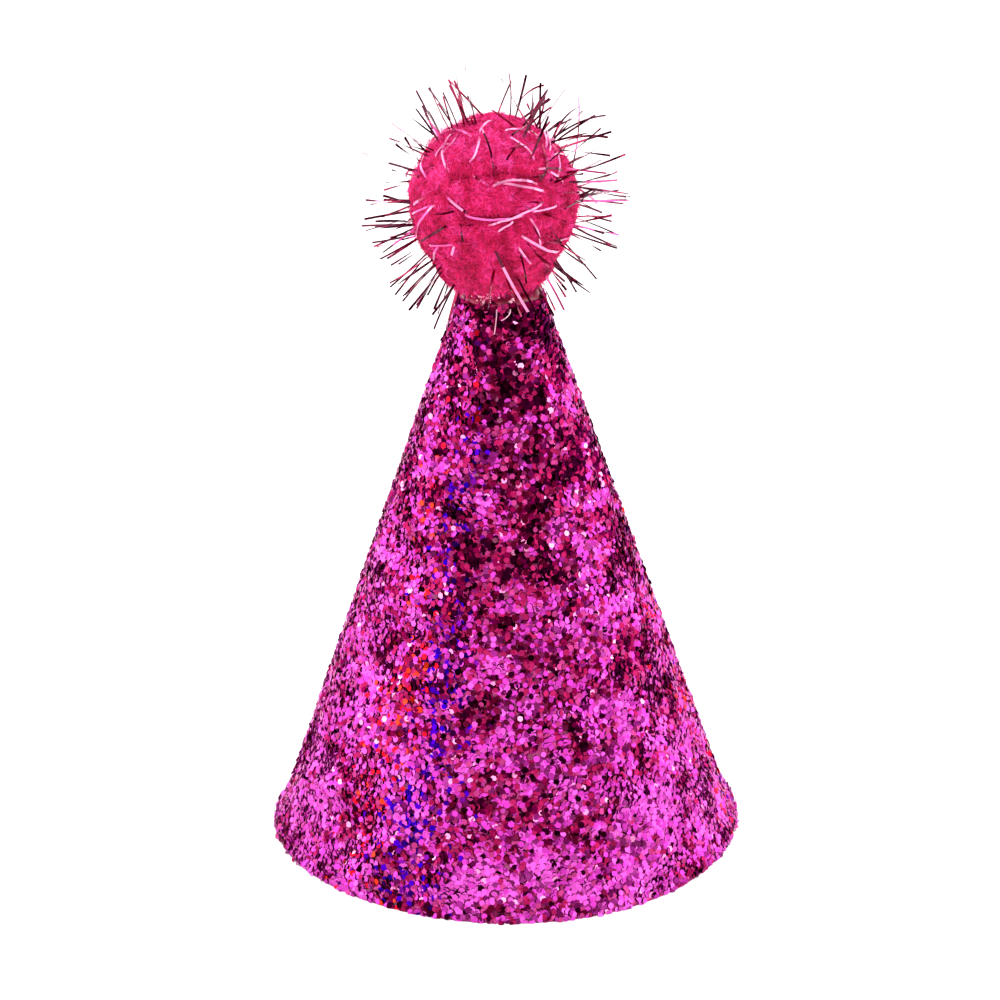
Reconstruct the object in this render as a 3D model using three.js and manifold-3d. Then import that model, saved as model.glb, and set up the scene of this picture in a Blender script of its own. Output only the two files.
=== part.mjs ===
// A mini glitter party hat: a card cone under a glitter sheet, with a tinsel pom-pom glued in its mouth.
// Millimetres, +Z up. The origin is the centre of the rim, on the plane that the hat stands on.
// -Y is the front of the hat, and the lapped seam of the glitter sheet runs up the back, at +Y.
import * as THREE from "three";
import { mergeVertices } from "three/addons/utils/BufferGeometryUtils.js";
import Module from "manifold-3d";

const wasm = await Module();
wasm.setup();

// Driving dimensions of the cone.
const rimRadius = 32.8; // outside of the glitter sheet at the rim
const apexHeight = 97.6; // where the cone's straight sides would meet
const coneHeight = 79.4; // the tip is cut off here, which leaves the mouth for the pom-pom
const outOfRound = 0.0138; // the cone is rolled by hand, so it has three faint lobes
const lobeAngle = THREE.MathUtils.degToRad(48.8);
const rimFlare = 1.0; // the trimmed edge turns out a little
const flareHeight = 5;
const flareBend = 2; // the flare is made in two steps, and this is where they meet

// Thicknesses and clearances, all measured level, across the wall.
const sheetThickness = 0.95; // glitter sheet: woven backing with its coat of flakes
const cardThickness = 0.55;
const layerGap = 0.2; // between the card and the glitter sheet
const glueThickness = 0.16;
const gluePlay = 0.15; // on each face of a glue strip
const contactGap = 0.3; // between pieces that are shaped to each other

// Both sheets wrap a little past a full turn, on stations that line up between the layers.
const stationAngle = THREE.MathUtils.degToRad(2.5);
const fullTurn = 144; // stations
const overlap = 8; // stations
const ramp = 14; // stations over which a sheet climbs off its own start
const sheetSeam = 36; // station of the seam, at +Y
const cardSeam = 108; // the card's seam faces the other way, so that the two don't pile up
const glueInset = 1; // stations left clear at each edge of a glue strip
const glueEndInset = 1.5; // left clear at each end of a glue strip

// Pom-pom: a trimmed ball of matted fibre, a little to one side of the cone's axis.
const ballRadius = 11.8;
const ballHalfHeight = 12.8;
const ballCentre = new THREE.Vector3(-0.9, 0, 93.5);

// The tie round the fibres at the middle of the ball, and the parting in the fibres that it lies in.
const threadRadius = 0.35;
const tieRingRadius = 0.9;
const knotRadius = 0.75; // the knot is at the bottom of the ring
const tailSpread = 0.4; // each tail's distance from the ball's axis
const tailEnd = 76.5; // height of the tails' cut ends, in the glue
const partingRadius = 1.7;
const partingTop = 95.2;

// Hot glue in the mouth of the cone.
const glueBottom = 74.5;
const flangeRadius = 5.8;
const flangeTop = 81.3;

// Tinsel: flat film threads in tufts, whose ends stand out of the ball.
const tinselWidth = 0.37;
const tinselThickness = 0.12;
const rootDepth = 2.4;
const tuftCount = 13;
const threadsPerTuft = 3;
const tuftHeights = [0.96, -0.62]; // highest and lowest tuft, as shares of the ball's half height
const rootSpread = 0.1; // how far a thread's root lies off its tuft's line, as a slope
const tipSpread = [0.1, 0.26]; // least and most for its tip
const tinselReach = [3.4, 7.2]; // least and most length outside the ball

const lookOf = {
  glitter: { color: 0xd22aa6, roughness: 0.3, metalness: 0.8 },
  card: { color: 0xe9dcd6, roughness: 0.9, metalness: 0 },
  glue: { color: 0xf4e9e4, roughness: 0.25, metalness: 0 },
  fibre: { color: 0xe5196b, roughness: 1, metalness: 0 },
  thread: { color: 0xc01458, roughness: 0.8, metalness: 0 },
  tinsel: { color: 0xb01048, roughness: 0.2, metalness: 1 },
};

const hat = new THREE.Group();

function addPiece(name, geometry, look) {
  const mesh = new THREE.Mesh(geometry, new THREE.MeshStandardMaterial(lookOf[look]));
  mesh.name = name;
  hat.add(mesh);
}

// A closed geometry as a solid that can be joined and cut.
function solidFrom(geometry) {
  const bare = geometry.clone();
  bare.deleteAttribute("normal");
  bare.deleteAttribute("uv");
  const merged = mergeVertices(bare, 1e-4);
  return new wasm.Manifold(
    new wasm.Mesh({
      numProp: 3,
      vertProperties: merged.attributes.position.array,
      triVerts: new Uint32Array(merged.index.array),
    }),
  );
}

function geometryFrom(solid) {
  const { vertProperties, triVerts } = solid.getMesh();
  return new THREE.BufferGeometry()
    .setAttribute("position", new THREE.BufferAttribute(vertProperties, 3))
    .setIndex(new THREE.BufferAttribute(triVerts, 1));
}

// Outside radius of the cone in a direction and at a height.
function coneRadius(angle, z) {
  const lobes = 1 + outOfRound * Math.cos(3 * (angle - lobeAngle));
  const flare = rimFlare * Math.max(0, 1 - z / flareHeight) ** 2;
  return rimRadius * lobes * (1 - z / apexHeight) + flare;
}

// A piece of wall between two stations: a flat slab, bent round the cone.
// inner and outer give its two faces at a station, as distances out from the cone's own surface.
function coneWall({ from, to, inner, outer, bottom = 0, top = coneHeight }) {
  const levels = [bottom, flareBend, flareHeight, top];
  const rows = levels.length - 1;
  const slab = new THREE.BoxGeometry(1, 1, 1, to - from, 1, rows).translate(0.5, 0.5, 0.5);
  const position = slab.attributes.position;
  for (let i = 0; i < position.count; i += 1) {
    const station = from + position.getX(i) * (to - from);
    const angle = station * stationAngle;
    const z = levels[Math.round(position.getZ(i) * rows)];
    const face = position.getY(i) > 0.5 ? inner : outer;
    const radius = coneRadius(angle, z) + face(station);
    position.setXYZ(i, radius * Math.cos(angle), radius * Math.sin(angle), z);
  }
  return slab;
}

// A sheet rolled from its seam, all the way round and over or under its own start.
// climb is how far out its end lies from its start.
function rolledSheet(seam, outside, thickness, climb) {
  const lapStart = seam + fullTurn;
  const climbed = (station) => THREE.MathUtils.smoothstep(station, lapStart - ramp, lapStart);
  const outer = (station) => outside + climb * climbed(station);
  const inner = (station) => outer(station) - thickness;
  return { from: seam, to: lapStart + overlap, inner, outer };
}

const glueSpace = glueThickness + 2 * gluePlay;
const cardOutside = -sheetThickness - layerGap;
const glitterSheet = rolledSheet(sheetSeam, 0, sheetThickness, sheetThickness + glueSpace);
const innerCard = rolledSheet(cardSeam, cardOutside, cardThickness, -cardThickness - glueSpace);

// A strip of glue in the lap of a sheet.
function seamGlue(seam, outside) {
  return coneWall({
    from: seam + glueInset,
    to: seam + overlap - glueInset,
    inner: () => outside - glueThickness,
    outer: () => outside,
    bottom: glueEndInset,
    top: coneHeight - glueEndInset,
  });
}

function addSheets() {
  addPiece("glitter_sheet", coneWall(glitterSheet), "glitter");
  addPiece("glitter_sheet_seam_glue", seamGlue(sheetSeam, gluePlay + glueThickness), "glue");
  addPiece("inner_card_cone", coneWall(innerCard), "card");
  addPiece("inner_card_seam_glue", seamGlue(cardSeam, cardOutside - cardThickness - gluePlay), "glue");
}

function ballSolid(grow) {
  const ball = new THREE.SphereGeometry(1, 36, 24).rotateX(Math.PI / 2);
  ball.scale(ballRadius + grow, ballRadius + grow, ballHalfHeight + grow);
  return solidFrom(ball.translate(...ballCentre));
}

// An upright rod, x to the side of the pom-pom's axis.
function uprightRod(radius, bottom, top, x = 0) {
  const rod = new THREE.CylinderGeometry(radius, radius, top - bottom, 24).rotateX(Math.PI / 2);
  return solidFrom(rod.translate(ballCentre.x + x, ballCentre.y, (bottom + top) / 2));
}

// The plug of hot glue: a cone inside the card, a flange on the cut tip, and a dish for the ball.
function addTipGlue() {
  const neckTop = coneHeight + contactGap;
  const wallInset = sheetThickness + layerGap + cardThickness + contactGap;
  const plugRadius = (z) => rimRadius * (1 - outOfRound) * (1 - z / apexHeight) - wallInset;
  const profile = [
    [0, glueBottom],
    [plugRadius(glueBottom), glueBottom],
    [plugRadius(neckTop), neckTop],
    [flangeRadius, neckTop],
    [flangeRadius, flangeTop],
    [0, flangeTop],
  ];
  const points = profile.map(([radius, z]) => new THREE.Vector2(radius, z));
  const plug = solidFrom(new THREE.LatheGeometry(points, 48).rotateX(Math.PI / 2));
  const cardLap = coneWall({
    from: cardSeam + fullTurn - ramp,
    to: cardSeam + fullTurn + overlap + 2,
    inner: (station) => innerCard.inner(station) - contactGap,
    outer: () => cardOutside,
    top: neckTop,
  });
  const glue = plug
    .subtract(solidFrom(cardLap))
    .subtract(ballSolid(contactGap))
    .subtract(uprightRod(partingRadius, glueBottom + 1, flangeTop + 1));
  addPiece("tip_hot_glue", geometryFrom(glue), "glue");
}

// The thread round the middle of the fibres: a ring, its knot, and two tails down into the glue.
function addPompomTie() {
  const ring = new THREE.TorusGeometry(tieRingRadius, threadRadius, 10, 24).rotateX(Math.PI / 2);
  const knotHeight = ballCentre.z - tieRingRadius;
  const knot = new THREE.SphereGeometry(knotRadius, 16, 10);
  const tails = [-tailSpread, tailSpread].map((x) => uprightRod(threadRadius, tailEnd, knotHeight, x));
  const tie = solidFrom(ring.translate(...ballCentre))
    .add(solidFrom(knot.translate(ballCentre.x, ballCentre.y, knotHeight)))
    .add(tails[0])
    .add(tails[1]);
  addPiece("pompom_tie_thread", geometryFrom(tie), "thread");
}

// A small repeatable source of numbers between two limits.
function seededRandom(seed) {
  let state = seed;
  return (low, high) => {
    state = (state * 16807) % 2147483647;
    return low + ((high - low) * state) / 2147483647;
  };
}

// The line of each tinsel thread: its direction at the root and at the tip, and its length outside.
function tinselLines() {
  const random = seededRandom(2027);
  const goldenAngle = Math.PI * (3 - Math.sqrt(5));
  const lines = [];
  for (let tuft = 0; tuft < tuftCount; tuft += 1) {
    const height = THREE.MathUtils.lerp(...tuftHeights, tuft / (tuftCount - 1));
    const level = Math.sqrt(1 - height * height);
    const around = tuft * goldenAngle;
    const out = new THREE.Vector3(level * Math.cos(around), level * Math.sin(around), height);
    const firstSide = new THREE.Vector3(-Math.sin(around), Math.cos(around), 0);
    const turned = random(0, 2 * Math.PI);
    for (let thread = 0; thread < threadsPerTuft; thread += 1) {
      const turn = turned + (thread * 2 * Math.PI) / threadsPerTuft;
      const side = firstSide.clone().applyAxisAngle(out, turn);
      const leaning = (slope) => out.clone().addScaledVector(side, slope).normalize();
      lines.push({
        root: leaning(rootSpread),
        tip: leaning(random(...tipSpread)),
        reach: random(...tinselReach),
      });
    }
  }
  return lines;
}

// A flat film along a line, from a depth inside the ball out to its reach.
function tinselFilm({ root, tip, reach }, width, thickness, depth) {
  const at = (direction, distance) => direction.clone().multiplyScalar(distance).add(ballCentre);
  const start = at(root, ballRadius - depth);
  const bend = at(root, ballRadius + reach * 0.4);
  const curve = new THREE.QuadraticBezierCurve3(start, bend, at(tip, ballRadius + reach));
  const section = new THREE.Shape([
    new THREE.Vector2(-thickness / 2, -width / 2),
    new THREE.Vector2(thickness / 2, -width / 2),
    new THREE.Vector2(thickness / 2, width / 2),
    new THREE.Vector2(-thickness / 2, width / 2),
  ]);
  return new THREE.ExtrudeGeometry(section, { steps: 8, extrudePath: curve });
}

// The fibre ball is parted for the tie, and open in a small socket round each tinsel root.
function addPompom() {
  let ball = ballSolid(0).subtract(uprightRod(partingRadius, coneHeight, partingTop));
  tinselLines().forEach((line, index) => {
    const number = String(index + 1).padStart(2, "0");
    addPiece(`tinsel_thread_${number}`, tinselFilm(line, tinselWidth, tinselThickness, rootDepth), "tinsel");
    const socketWidth = tinselWidth + 2 * contactGap;
    const socketThickness = tinselThickness + 2 * contactGap;
    const socket = tinselFilm(line, socketWidth, socketThickness, rootDepth + contactGap);
    ball = ball.subtract(solidFrom(socket));
  });
  addPiece("pompom_fibre_ball", geometryFrom(ball), "fibre");
}

addSheets();
addTipGlue();
addPompomTie();
addPompom();

export default hat;
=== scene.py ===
"""The looks of a mini glitter party hat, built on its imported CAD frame.

Metres, +Z up, with the origin at the centre of the rim. -Y is the front, and the lapped seam of
the glitter sheet runs up the back.
"""
import math

import bmesh
import bpy
import numpy as np
from mathutils import Matrix, Vector, noise


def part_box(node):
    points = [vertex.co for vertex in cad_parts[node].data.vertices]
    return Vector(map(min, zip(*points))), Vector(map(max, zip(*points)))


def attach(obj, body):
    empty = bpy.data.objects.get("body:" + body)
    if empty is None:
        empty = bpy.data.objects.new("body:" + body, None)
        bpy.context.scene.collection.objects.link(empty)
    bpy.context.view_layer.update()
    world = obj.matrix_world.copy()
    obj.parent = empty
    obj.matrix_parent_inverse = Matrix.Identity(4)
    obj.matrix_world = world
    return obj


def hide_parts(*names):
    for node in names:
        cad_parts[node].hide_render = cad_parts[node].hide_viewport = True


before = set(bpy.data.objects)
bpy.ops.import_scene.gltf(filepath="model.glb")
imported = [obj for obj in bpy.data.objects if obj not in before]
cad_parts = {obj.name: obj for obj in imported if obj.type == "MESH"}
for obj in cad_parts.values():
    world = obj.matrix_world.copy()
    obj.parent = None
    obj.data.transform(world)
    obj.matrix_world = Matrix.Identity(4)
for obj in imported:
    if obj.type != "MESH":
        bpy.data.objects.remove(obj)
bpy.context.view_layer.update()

MM = 0.001
TURN = 2 * math.pi
BODY = "root"
rng = np.random.default_rng(2027)

# The cone, as the CAD draws it. Depths are measured level, inwards from the outside of the hat.
sheet_low, sheet_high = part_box("glitter_sheet")
CONE_HEIGHT = sheet_high.z
RIM_FLARE = 1.0 * MM
FLARE_HEIGHT = 5 * MM
RIM_RADIUS = (sheet_high.x - sheet_low.x) / 2 - RIM_FLARE
APEX_HEIGHT = 97.6 * MM
OUT_OF_ROUND = 0.0138
LOBE_ANGLE = math.radians(48.8)
SIDE_SLOPE = math.atan2(RIM_RADIUS, APEX_HEIGHT)
SHEET_THICKNESS = 0.95 * MM
CARD_DEPTH = 1.15 * MM
CARD_THICKNESS = 0.55 * MM
LAP_CLEARANCE = 0.46 * MM
LAP = math.radians(20)
RAMP = math.radians(35)
FRONT = math.radians(270)
SHEET_SEAM = math.radians(90)
CARD_SEAM = math.radians(270)

# The glitter coat on the sheet's woven backing.
BACKING_THICKNESS = 0.5 * MM
FLAKE_ACROSS = 0.79 * MM
FLAKE_THICKNESS = 0.04 * MM
FLAKE_SECTORS = 6
BARE_RIM = 0.06 * MM
SHARED_TILT = 0.4
MOST_TILT = 1.1
# The three layers of flakes, from the lowest: pitch, depth under the hat's outside and tilt.
FLAKE_LAYERS = (
    (0.73 * MM, 0.3 * MM, math.radians(7)),
    (0.85 * MM, 0.19 * MM, math.radians(9)),
    (1.25 * MM, 0.09 * MM, math.radians(12)),
)
DEPTH_SPREAD = 0.05 * MM
# How far a flake is moved off its place in its row, as a share of the pitch.
JITTER = 0.42
# The colours that the flakes come in. The first eight run from the lightest to the darkest: partly
# the glitter's own mixed tones and partly lit and shaded copies of its pink, painted light and
# shade for flakes that catch or miss the lamps.
FLAKE_COLORS = {
    "flake_pink": (0.55, 0.06, 0.43),
    "flake_magenta": (0.44, 0.02, 0.34),
    "flake_rose": (0.33, 0.018, 0.14),
    "flake_raspberry": (0.27, 0.009, 0.07),
    "flake_crimson": (0.25, 0.006, 0.055),
    "flake_ruby": (0.14, 0.001, 0.034),
    "flake_maroon": (0.065, 0.0, 0.022),
    "flake_black": (0.016, 0.0, 0.007),
    "flake_purple": (0.12, 0.003, 0.2),
    "flake_violet": (0.045, 0.0, 0.34),
    "flake_blue": (0.02, 0.0, 0.32),
    "flake_orange": (0.75, 0.04, 0.015),
    "flake_red": (0.62, 0.006, 0.02),
    # A painted glint: nearly white flakes that stand in for highlights.
    "flake_painted_glint": (0.9, 0.3, 0.6),
}
# The places in that list of the colours that are picked by name.
ROSE, RASPBERRY, CRIMSON, RUBY, MAROON, BLACK = range(2, 8)
PURPLE, VIOLET, BLUE, ORANGE, RED, PAINTED_GLINT = range(8, 14)
LACQUERED = ("flake_pink", "flake_magenta", "flake_rose")
# How dark a flake is, from chance, from soft patches and from where it lies on the cone, where it
# holds painted light and shade, and the levels of that at which one of the first eight colours
# passes into the next.
DARKNESS_BASE = 0.15
DARKNESS_BY_CHANCE = 0.68
DARKNESS_BY_PATCH = 0.46
# Painted shade: darker towards the tip, in the ball's shadow and its dark reflection.
PAINTED_SHADE_TIP = 0.12
DARKER_RIGHT = 0.28
# Painted light: lighter at the foot, where the flakes mirror the bright floor and low front light.
PAINTED_LIGHT_FOOT = 0.23
COLOR_SHARES = (0.17, 0.44, 0.55, 0.66, 0.77, 0.85, 0.93)
# Shares of flakes that are black, or nearly white as a painted glint, wherever they lie.
BLACK_SHARE = 0.05
PAINTED_GLINT_SHARE = 0.015
# The holographic flakes show in bands up the cone: blue, with red and orange beside it. The shares
# are those in a band's middle, low on the cone, and they fade towards the tip.
RAINBOW_BANDS = [math.radians(a) for a in (246, 10, 62, 150)]
BAND_SHIFT = math.radians(15)
BAND_WIDTH = math.radians(10)
BLUE_SHARE = 0.25
WARM_SHARE = 0.15

# The pom-pom.
ball_low, ball_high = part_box("pompom_fibre_ball")
BALL_CENTRE = (ball_low + ball_high) / 2
BALL_RADIUS = (ball_high.x - ball_low.x) / 2
BALL_HALF_HEIGHT = (ball_high.z - ball_low.z) / 2
# The ball's radius in mm, for the noises that shape and shade it.
LUMP_RADIUS = 11.8
# Levels of shade, mottle with painted light and shade, at which a fibre passes from one pink to the
# next, and the fringe's mix of them.
SHADE_LEVELS = (-0.75, -0.3, 0.12, 0.5, 0.95)
FRINGE_SHADES = (0, 1, 2, 2, 3, 3, 4, 5)
FREE_FIBRE_SHARE = 0.16
FIBRE_WIDTH = (0.05 * MM, 0.1 * MM)
# Slit tinsel film: its least and greatest width, and its thickness.
FILM_WIDTH = (0.24 * MM, 0.37 * MM)
FILM_THICKNESS = 0.03 * MM
# The front of the ball is laid out as it is seen from this far above the level, about a middle
# that lies this share of its radius lower than the ball's own.
FRONT_TILT = math.radians(18)
FRONT_DROP = 0.06
# Creases in the ball's front: from, to (shares of its radius, across and up) and depth in mm.
CREASES = [
    ((-0.45, 0.35), (0.7, 0.2), 0.85),
    ((-0.75, 0.2), (-0.1, -0.2), 0.45),
    ((-0.1, -0.2), (0.75, -0.05), 0.45),
    ((0.05, -0.2), (0.2, -0.8), 0.5),
]
# Tufts of tinsel round the ball's outline: degrees round from the right, threads, the longest
# one's reach in mm, and how far the threads lean apart.
OUTLINE_TUFTS = [
    (136, 7, 6.8, 0.07),
    (119, 7, 6.4, 0.06),
    (104, 5, 7.0, 0.04),
    (66, 6, 6.2, 0.2),
    (48, 9, 6.6, 0.2),
    (26, 6, 6.8, 0.2),
    (2, 5, 7.0, 0.08),
    (-15, 8, 6.2, 0.07),
    (-33, 5, 5.6, 0.07),
    (-52, 8, 6.4, 0.07),
    (160, 4, 4.6, 0.1),
    (178, 4, 5.6, 0.08),
    (192, 8, 5.8, 0.07),
    (206, 8, 6.4, 0.07),
    (222, 7, 6.6, 0.07),
    (241, 7, 7.2, 0.07),
]
# Threads that lie across the ball's front: their two ends and middle, as shares of its radius.
FRONT_THREADS = [
    ((-0.6, 0.82), (-0.5, 0.88), (-0.4, 0.92)),
    ((-0.68, 0.55), (-0.6, 0.66), (-0.5, 0.73)),
    ((-0.3, 0.5), (-0.2, 0.6), (-0.15, 0.82)),
    ((-0.16, 0.84), (-0.06, 0.9), (0.02, 0.97)),
    ((0.12, 0.83), (0.28, 0.83), (0.46, 0.8)),
    ((0.18, 0.78), (0.34, 0.68), (0.51, 0.5)),
    ((-0.28, 0.38), (-0.15, 0.28), (-0.04, 0.21)),
    ((-0.02, 0.2), (0.24, 0.27), (0.58, 0.22)),
    ((0.02, 0.26), (0.32, 0.2), (0.64, 0.13)),
    ((0.52, 0.4), (0.7, 0.4), (0.86, 0.38)),
    ((0.66, 0.38), (0.77, 0.3), (0.86, 0.21)),
    ((0.7, 0.56), (0.8, 0.58), (0.86, 0.55)),
    ((0.6, 0.6), (0.62, 0.42), (0.56, 0.25)),
    ((-0.58, 0.12), (-0.43, -0.03), (-0.28, -0.11)),
    ((-0.38, -0.1), (-0.05, -0.19), (0.42, -0.13)),
    ((-0.08, -0.27), (0.25, -0.16), (0.6, 0.02)),
    ((0.03, -0.36), (0.14, -0.28), (0.25, -0.2)),
    ((0.44, -0.1), (0.62, -0.06), (0.76, -0.02)),
    ((-0.95, -0.02), (-0.88, 0.04), (-0.8, 0.1)),
    ((-0.95, -0.12), (-0.84, -0.06), (-0.7, 0.0)),
    ((-0.7, 0.0), (-0.82, -0.2), (-0.88, -0.42)),
    ((-0.78, -0.44), (-0.64, -0.46), (-0.48, -0.48)),
    ((-0.68, -0.65), (-0.67, -0.55), (-0.64, -0.46)),
    ((-0.5, -0.6), (-0.48, -0.55), (-0.47, -0.48)),
    ((0.32, -0.37), (0.52, -0.48), (0.8, -0.56)),
    ((0.28, -0.5), (0.36, -0.61), (0.43, -0.7)),
    ((0.42, -0.16), (0.49, -0.32), (0.53, -0.54)),
    ((0.6, -0.44), (0.76, -0.43), (0.92, -0.36)),
]
# Bent threads that stand out from the ball, in the same shares: root, bend and tip.
BENT_THREADS = [
    ((0.17, 0.92), (0.32, 1.3), (0.6, 1.35)),
    ((0.5, 0.86), (0.62, 1.12), (0.62, 1.36)),
    ((0.56, 0.78), (0.46, 1.03), (0.4, 1.15)),
    ((0.7, 0.72), (1.0, 0.98), (1.31, 1.0)),
    ((0.72, 0.7), (1.0, 0.8), (1.33, 0.79)),
    ((0.9, 0.4), (1.02, 0.76), (1.0, 1.2)),
    ((0.66, 0.66), (0.76, 0.98), (1.02, 1.1)),
    ((0.85, 0.46), (0.98, 0.5), (1.11, 0.54)),
    ((0.9, 0.2), (1.12, 0.1), (1.2, -0.02)),
    ((-0.9, 0.42), (-1.03, 0.4), (-1.0, 0.33)),
]

# The glue in the cone's mouth. Its plug stays this far inside the card's outer face, in mm.
GLUE_INSET = 0.95
# Beads of glue over the mouth's front, gathered about these directions, in degrees.
BEAD_COUNT = 34
BEAD_PLACES = (240, 246, 252, 258, 264, 286)


# ---------------------------------------------------------------- meshes and materials


def add_piece(name, points, polygons, slots, materials, smooth=False):
    """A mesh piece that rides on the hat. polygons is a list of arrays of point numbers, one row
    a face, and slots gives each face's material, in the same order."""
    mesh = bpy.data.meshes.new(name)
    points = np.asarray(points, np.float32).reshape(-1, 3)
    loops = np.concatenate([faces.ravel() for faces in polygons])
    sizes = np.concatenate([np.full(len(faces), faces.shape[1]) for faces in polygons])
    mesh.vertices.add(len(points))
    mesh.vertices.foreach_set("co", points.ravel())
    mesh.loops.add(len(loops))
    mesh.loops.foreach_set("vertex_index", loops.astype(np.int32))
    mesh.polygons.add(len(sizes))
    mesh.polygons.foreach_set("loop_start", (np.cumsum(sizes) - sizes).astype(np.int32))
    mesh.polygons.foreach_set("material_index", np.asarray(slots, np.int32))
    mesh.polygons.foreach_set("use_smooth", np.full(len(sizes), smooth))
    mesh.update(calc_edges=True)
    for made in materials:
        mesh.materials.append(made)
    piece = bpy.data.objects.new(name, mesh)
    bpy.context.scene.collection.objects.link(piece)
    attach(piece, BODY)
    return piece


def plain_material(name, color, roughness, metallic=0.0, **more):
    """A principled material. more names further sockets, with spaces as underscores."""
    made = bpy.data.materials.new(name)
    made.use_nodes = True
    shader = made.node_tree.nodes["Principled BSDF"]
    shader.inputs["Base Color"].default_value = (*color, 1)
    shader.inputs["Roughness"].default_value = roughness
    shader.inputs["Metallic"].default_value = metallic
    for socket, value in more.items():
        shader.inputs[socket.replace("_", " ")].default_value = value
    return made


def add_node(made, kind, **values):
    """A node with its settings, or its sockets' values, by name."""
    node = made.node_tree.nodes.new(kind)
    for key, value in values.items():
        if hasattr(node, key):
            setattr(node, key, value)
        else:
            node.inputs[key.replace("_", " ")].default_value = value
    return node


def link(made, source, target):
    made.node_tree.links.new(source, target)


def shader_of(made):
    return made.node_tree.nodes["Principled BSDF"]


def mottle(made, low, high, scale, coordinates="Object", detail=4.0, spread=(0.35, 0.65)):
    """Colours the material between low and high by a soft noise."""
    place = add_node(made, "ShaderNodeTexCoord")
    cloud = add_node(made, "ShaderNodeTexNoise", Scale=scale, Detail=detail)
    ramp = add_node(made, "ShaderNodeValToRGB")
    ramp.color_ramp.elements[0].position = spread[0]
    ramp.color_ramp.elements[0].color = (*low, 1)
    ramp.color_ramp.elements[1].position = spread[1]
    ramp.color_ramp.elements[1].color = (*high, 1)
    link(made, place.outputs[coordinates], cloud.inputs["Vector"])
    link(made, cloud.outputs["Fac"], ramp.inputs["Fac"])
    link(made, ramp.outputs["Color"], shader_of(made).inputs["Base Color"])
    return place


def roughen(made, place, scale, strength, distance, coordinates="Object", detail=6.0):
    """Adds a fine random bump."""
    grain = add_node(made, "ShaderNodeTexNoise", Scale=scale, Detail=detail)
    bump = add_node(made, "ShaderNodeBump", Strength=strength, Distance=distance)
    link(made, place.outputs[coordinates], grain.inputs["Vector"])
    link(made, grain.outputs["Fac"], bump.inputs["Height"])
    link(made, bump.outputs["Normal"], shader_of(made).inputs["Normal"])


def resin_and_gap_shade_material():
    """The clear-pink resin and packed lower flakes that show between the top ones, kept dark as
    painted shade for the gaps between the flakes.
    """
    made = plain_material("coat_resin_and_gap_shade", (0.3, 0.0, 0.09), 0.3, metallic=0.4, Coat_Weight=0.2)
    place = mottle(made, (0.1, 0.0, 0.04), (0.55, 0.01, 0.22), 900.0, detail=2.0)
    roughen(made, place, 1400.0, 0.6, 0.1 * MM)
    return made


def backing_material():
    """A plain-woven backing, in threads that follow the sheet's own flat pattern."""
    made = plain_material("woven_backing", (0.62, 0.45, 0.4), 0.9, Sheen_Weight=0.3)
    place = add_node(made, "ShaderNodeTexCoord")
    warp = add_node(made, "ShaderNodeTexWave", bands_direction="X", Scale=420.0, Distortion=0.6)
    weft = add_node(made, "ShaderNodeTexWave", bands_direction="Y", Scale=420.0, Distortion=0.6)
    both = add_node(made, "ShaderNodeMath", operation="MULTIPLY")
    ramp = add_node(made, "ShaderNodeValToRGB")
    ramp.color_ramp.elements[0].color = (0.42, 0.24, 0.24, 1)
    ramp.color_ramp.elements[1].color = (0.8, 0.62, 0.56, 1)
    bump = add_node(made, "ShaderNodeBump", Strength=0.8, Distance=0.08 * MM)
    for wave, socket in ((warp, 0), (weft, 1)):
        link(made, place.outputs["UV"], wave.inputs["Vector"])
        link(made, wave.outputs["Fac"], both.inputs[socket])
    link(made, both.outputs["Value"], ramp.inputs["Fac"])
    link(made, both.outputs["Value"], bump.inputs["Height"])
    link(made, ramp.outputs["Color"], shader_of(made).inputs["Base Color"])
    link(made, bump.outputs["Normal"], shader_of(made).inputs["Normal"])
    return made


def card_material():
    """Uncoated greyish-white card."""
    made = plain_material("card", (0.8, 0.76, 0.7), 0.85)
    place = mottle(made, (0.7, 0.65, 0.58), (0.84, 0.8, 0.75), 160.0, detail=8.0)
    roughen(made, place, 2200.0, 0.5, 0.03 * MM)
    return made


def glue_material(name, low, high):
    """Hot glue: soft-edged, a little glossy, and mottled between two colours."""
    made = plain_material(
        name,
        high,
        0.35,
        Subsurface_Weight=0.4,
        Subsurface_Radius=(1.2, 0.6, 0.7),
        Subsurface_Scale=0.6 * MM,
        IOR=1.48,
    )
    place = mottle(made, low, high, 800.0)
    roughen(made, place, 600.0, 0.25, 0.1 * MM, detail=2.0)
    return made


def flake_materials():
    """Mirror-bright flakes, one material a colour. The pinks are under a clear lacquer."""
    edge = {"Specular_Tint": (1.0, 0.5, 0.8, 1)}
    clear = {"Coat_Weight": 0.3, "Coat_Roughness": 0.15}
    made = []
    for name, color in FLAKE_COLORS.items():
        coat = clear if name in LACQUERED else {}
        made.append(plain_material(name, color, 0.2, metallic=1.0, **edge, **coat))
    return made


def fibre_materials():
    """The pinks of the pom-pom's fibres, lit and shaded copies of one pink: from painted light for
    the lit tips down to painted shade in the clefts.
    """
    colors = {
        "fibre_painted_light": (0.98, 0.1, 0.48),
        "fibre_light": (0.92, 0.045, 0.3),
        "fibre_pink": (0.84, 0.02, 0.19),
        "fibre_deep": (0.74, 0.01, 0.12),
        "fibre_crimson": (0.6, 0.004, 0.065),
        "fibre_shadow": (0.36, 0.0, 0.03),
    }
    return [
        plain_material(
            name,
            color,
            0.8,
            Specular_IOR_Level=0.15,
            Sheen_Weight=0.5,
            Sheen_Tint=(1.0, 0.2, 0.76, 1),
        )
        for name, color in colors.items()
    ]


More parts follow.
